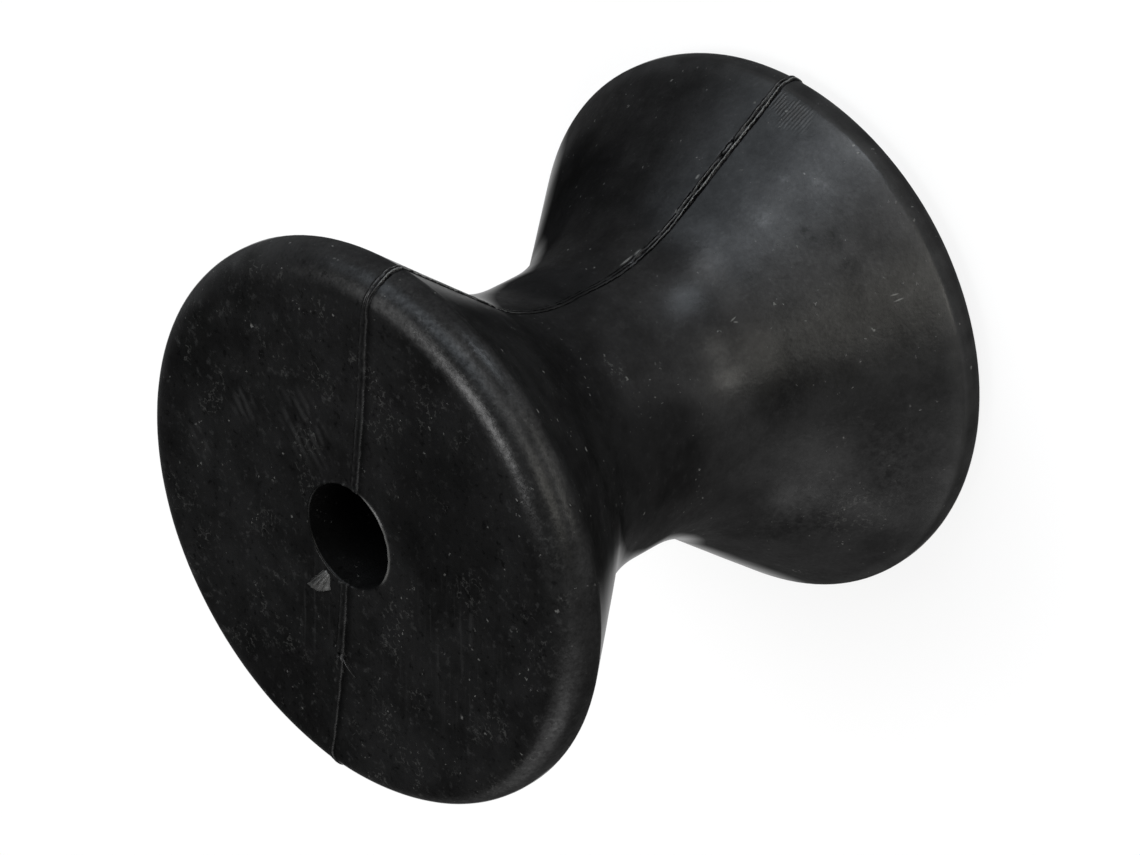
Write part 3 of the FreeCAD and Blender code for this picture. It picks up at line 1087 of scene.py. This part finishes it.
def dirt_nodes(tree, marks):
    """Dust, scratches, curls, smears and tool marks, and the worn rubber and painted light and shade stored
    on the mesh.
    """
    place = marks.place
    ragged = marks.ragged
    clustered = ramp_node(tree, noise_node(tree, place, *CLUSTERS), *CLUSTER_LEVELS)
    dust = product(tree, specks(tree, ragged, *DUST), clustered)
    motes = specks(tree, ragged, *SCATTERED_MOTES)
    placed = brightest(tree, (blot(tree, ragged, centre, (size,) * 3) for centre, size in MOTES))
    scratched = brightest(tree, (blot(tree, place, *scratch) for scratch in SCRATCHES))
    marks.scattered = brightest(tree, (dust, motes))
    curled = product(tree, curls(tree, place, marks.upper), CURL_SHARE)
    speckle = brightest(tree, (marks.scattered, placed, scratched, curled))
    wear = mark_node(tree, "wear")
    # Above 0 the rubber is worn or painted lighter, below 0 it has painted shade
    marks.scuffed = ramp_node(tree, wear, 0.0, 1.0)
    marks.pitted = ramp_node(tree, wear, 0.0, -1.0)
    marks.speckle = product(tree, speckle, math_node(tree, "SUBTRACT", 1.0, marks.pitted))
    marks.smeared = smears(tree, place)
    marks.tooled = brightest(tree, (tool_marks(tree, place, *area) for area in TOOL_MARKS))


def rubber_colour(tree, marks, dark, light):
    """The colour, from the clouded rubber up to the dust on it. Notes where the painted shade of pits and
    lines hides the bloom.
    """
    upper = marks.upper
    colour = mix_node(tree, ramp_node(tree, marks.tint, *TINT_LEVELS), (*dark, 1), (*light, 1))
    layers = (
        (marks.smeared, SMEAR_SHARE, SMEAR_COLOUR),
        (marks.flecks, FLECK_SHARE, FLECK_COLOUR),
        (marks.pocks, POCK_SHARE, POCK_COLOUR),
        (marks.tooled, TOOL_SHARE, TOOL_COLOUR),
    )
    for mask, share, layer_colour in layers:
        colour = mix_node(tree, product(tree, mask, share), colour, layer_colour)
    # Worn rubber, and painted light on the crests, rims, one side of the upper rim and the lip
    colour = mix_node(tree, marks.scuffed, colour, WORN_COLOUR)
    # Painted highlights on the parting line's crests
    crested = product(tree, marks.crest, ramp_node(tree, upper, 0.0, 1.0, *CREST_SHARES))
    colour = mix_node(tree, crested, colour, CREST_COLOUR)
    # A painted highlight on the lip's crest
    colour = mix_node(tree, lip_mark(tree, marks.place, upper), colour, LIP_COLOUR)
    # Painted shadow beside the parting line
    beside = product(tree, marks.strip, upper, STRIP_SHARE)
    # Painted shade along the parting line's groove and edges
    lined = product(tree, marks.dark_line, ramp_node(tree, upper, 0.0, 1.0, *LINE_SHARES))
    # All the painted shade: pits, groove, bore, shaded zones, the parting line's dark lines and the painted
    # shadow beside it
    marks.hidden = brightest(tree, [marks.pitted, lined, beside])
    colour = mix_node(tree, marks.hidden, colour, PIT_COLOUR)
    return mix_node(tree, product(tree, marks.speckle, SPECKLE_SHARE), colour, DUST_COLOUR)


def rubber_bloom(tree, marks):
    """The bloom's weight: clouded, patchy, worn or dull in places, flickering, weaker at a slant, and gone
    under painted shade.
    """
    bloom = product(tree, ramp_node(tree, marks.cloud, *BLOOM_LEVELS), BLOOM_WEIGHT)
    bloom = product(tree, bloom, ramp_node(tree, marks.patch, *BLOOM_LEVELS))
    shiny = brightest(tree, (blot(tree, marks.place, *spot, core=NO_CORE) for spot in SHINY_PATCHES))
    polish = math_node(tree, "SUBTRACT", shiny, mark_node(tree, "dull"))
    polish = product(tree, polish, marks.fine_patch)
    bloom = product(tree, bloom, math_node(tree, "ADD", 1.0, polish))
    bloom = product(tree, bloom, ramp_node(tree, mark_node(tree, "bare"), 0.0, 1.0, 1.0, BARE_BLOOM))
    flicker = math_node(tree, "SUBTRACT", noise_node(tree, marks.place, *FLICKER), NOISE_MIDDLE)
    strength = ramp_node(tree, marks.height_up, *FLICKER_ZONE, *FLICKER_STRENGTHS)
    bloom = product(tree, bloom, math_node(tree, "MULTIPLY_ADD", flicker, strength, 1.0))
    facing = shade(tree, "ShaderNodeLayerWeight", {"Blend": 0.5}).outputs["Facing"]
    bloom = product(tree, bloom, ramp_node(tree, facing, *SLANT_ZONE, 1.0, BLOOM_GRAZING))
    bloom = math_node(tree, "MAXIMUM", bloom, ramp_node(tree, facing, *GLARE_ZONE, 0.0, GLARE_WEIGHT))
    return product(tree, bloom, math_node(tree, "SUBTRACT", 1.0, marks.hidden))


def rubber_relief(tree, marks):
    """The fine relief, in millimetres.

    What feeds it is kept short: with the placed motes and the scratches in it too, the rubber rendered black.
    """
    height = product(tree, marks.grain, GRAIN_HEIGHT)
    raised = (
        (marks.patch, PATCH_HEIGHT),
        (marks.scattered, DUST_HEIGHT),
        (marks.tooled, TOOL_HEIGHT),
        (marks.mottle, MOTTLE_HEIGHT),
    )
    for mask, rise in raised:
        height = math_node(tree, "ADD", height, product(tree, mask, rise))
    crest = product(tree, marks.crest, CREST_HEIGHT)
    line = math_node(tree, "SUBTRACT", crest, product(tree, marks.dark_line, LINE_DEPTH))
    share = ramp_node(tree, marks.upper, 0.0, 1.0, *LINE_RELIEF)
    return math_node(tree, "MULTIPLY_ADD", line, share, height)


def rubber_material(name, dark, light, roughness):
    """Black moulded rubber: mottled, finely grained, dusty, with specks and faint tool marks."""
    material = bpy.data.materials.new(name)
    material.use_nodes = True
    tree = material.node_tree
    shader = tree.nodes["Principled BSDF"]
    marks = SimpleNamespace()
    place_nodes(tree, marks)
    pattern_nodes(tree, marks)
    dirt_nodes(tree, marks)
    tree.links.new(rubber_colour(tree, marks, dark, light), shader.inputs["Base Color"])
    rough = math_node(tree, "ADD", ramp_node(tree, marks.patch, *ROUGHNESS_LEVELS), roughness)
    tree.links.new(rough, shader.inputs["Roughness"])
    tree.links.new(rubber_bloom(tree, marks), shader.inputs["Coat Weight"])
    shader.inputs["Coat Roughness"].default_value = BLOOM_ROUGHNESS
    relief = rubber_relief(tree, marks)
    bump = shade(tree, "ShaderNodeBump", {"Height": relief, "Distance": MM, "Strength": 1.0})
    tree.links.new(bump.outputs[0], shader.inputs["Normal"])
    tree.links.new(bump.outputs[0], shader.inputs["Coat Normal"])
    shader.inputs["Specular IOR Level"].default_value = RUBBER_SPECULAR
    return material


# How far the floor reaches, in metres, its colour, and the share of its own white that the camera sees
FLOOR_REACH = 6.0
FLOOR_COLOUR = (0.85, 0.85, 0.85, 1)
FLOOR_WHITE = 0.85
WHITE = (1, 1, 1, 1)


def add_floor():
    """A white floor: the camera and reflections see mostly its own white, and the rest keeps the shadow."""
    mesh = bpy.data.meshes.new("floor")
    reach = FLOOR_REACH
    corners = [(-reach, -reach, 0), (reach, -reach, 0), (reach, reach, 0), (-reach, reach, 0)]
    mesh.from_pydata(corners, [], [(0, 1, 2, 3)])
    floor = bpy.data.objects.new("floor", mesh)
    bpy.context.scene.collection.objects.link(floor)
    material = bpy.data.materials.new("floor")
    material.use_nodes = True
    tree = material.node_tree
    tree.nodes.remove(tree.nodes["Principled BSDF"])
    rays = shade(tree, "ShaderNodeLightPath")
    seen = math_node(tree, "MAXIMUM", rays.outputs["Is Camera Ray"], rays.outputs["Is Glossy Ray"])
    seen = math_node(tree, "MAXIMUM", seen, rays.outputs["Is Transmission Ray"])
    white = shade(tree, "ShaderNodeEmission", {"Color": WHITE, "Strength": 1.0})
    matte = shade(tree, "ShaderNodeBsdfDiffuse", {"Color": FLOOR_COLOUR})
    share = product(tree, seen, FLOOR_WHITE)
    mixed = shade(tree, "ShaderNodeMixShader", {0: share, 1: matte.outputs[0], 2: white.outputs[0]})
    tree.links.new(mixed.outputs[0], tree.nodes["Material Output"].inputs["Surface"])
    mesh.materials.append(material)


WORLD_STRENGTH = 0.16


def light_world():
    """A dim, even light from all round."""
    world = bpy.data.worlds.new("studio")
    world.use_nodes = True
    back = world.node_tree.nodes["Background"]
    back.inputs["Color"].default_value = WHITE
    back.inputs["Strength"].default_value = WORLD_STRENGTH
    bpy.context.scene.world = world


def add_lamp(name, azimuth, elevation, distance, size, power, colour):
    """A round soft lamp that faces the middle of the roller."""
    data = bpy.data.lights.new(name, "AREA")
    data.shape = "DISK"
    data.size = size
    data.energy = power
    data.color = colour
    level = math.cos(math.radians(elevation))
    towards = Vector((
        level * math.cos(math.radians(azimuth)),
        level * math.sin(math.radians(azimuth)),
        math.sin(math.radians(elevation)),
    ))
    lamp = bpy.data.objects.new(name, data)
    lamp.location = Vector((0, 0, HALF * MM)) + towards * distance
    lamp.rotation_euler = (-towards).to_track_quat("-Z", "Y").to_euler()
    lamp.visible_camera = False
    bpy.context.scene.collection.objects.link(lamp)


COOL = (0.89, 0.98, 1.07)
PLAIN = (1.0, 1.0, 1.0)
WARM = (1.03, 1.01, 0.93)
# Soft lamps round the roller: name, azimuth, elevation, distance, width, power, colour.
# The three low ones stand close by, near the floor, and make the bright blotches at the neck.
LAMPS = (
    ("over", 28, 81, 0.7, 0.28, 2.2, PLAIN),
    ("behind", 66, 64, 0.7, 0.56, 1.9, PLAIN),
    ("left", 0, 28, 0.7, 0.40, 1.4, COOL),
    ("left_low", -4, 14, 0.7, 0.24, 0.5, PLAIN),
    ("far_left", 34, 23, 0.7, 0.46, 1.2, COOL),
    ("middle", -30, 22, 0.7, 0.36, 0.85, PLAIN),
    ("right", -60, 20, 0.7, 0.34, 1.1, WARM),
    ("side", -102, 24, 0.7, 0.50, 0.22, PLAIN),
    ("far_side", -152, 30, 0.7, 0.50, 1.0, PLAIN),
    ("low_right", -65, -8.4, 0.15, 0.03, 0.023, WARM),
    ("low_middle", -46, -8.4, 0.15, 0.03, 0.011, WARM),
    ("low_left", -12, -8.4, 0.15, 0.03, 0.03, COOL),
    ("back_right", 225, 15, 0.7, 0.50, 0.9, PLAIN),
    ("back", 195, 9, 0.7, 0.50, 3.1, PLAIN),
)
# The rubber of the roller, the torn flake and the strand: darkest and lightest colour, roughness
MOULDED = ((0.0030, 0.0030, 0.0030), (0.0068, 0.0068, 0.0069), 0.6)
TORN_OFF = ((0.012, 0.012, 0.012), (0.074, 0.074, 0.072), 0.7)
STRAND = ((0.008, 0.008, 0.008), (0.018, 0.018, 0.018), 0.7)

add_camera()
light_world()
add_floor()
for lamp in LAMPS:
    add_lamp(*lamp)
rubber = rubber_material("moulded_rubber", *MOULDED)
torn = rubber_material("torn_rubber", *TORN_OFF)
strand = rubber_material("strand_rubber", *STRAND)
spool = add_piece("spool", make_spool(), rubber)
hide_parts(NODE)
add_piece("flash_tab", make_tab(), torn)
add_piece("flash_hair", make_hair(), strand)
bpy.context.scene.view_settings.view_transform = "Standard"
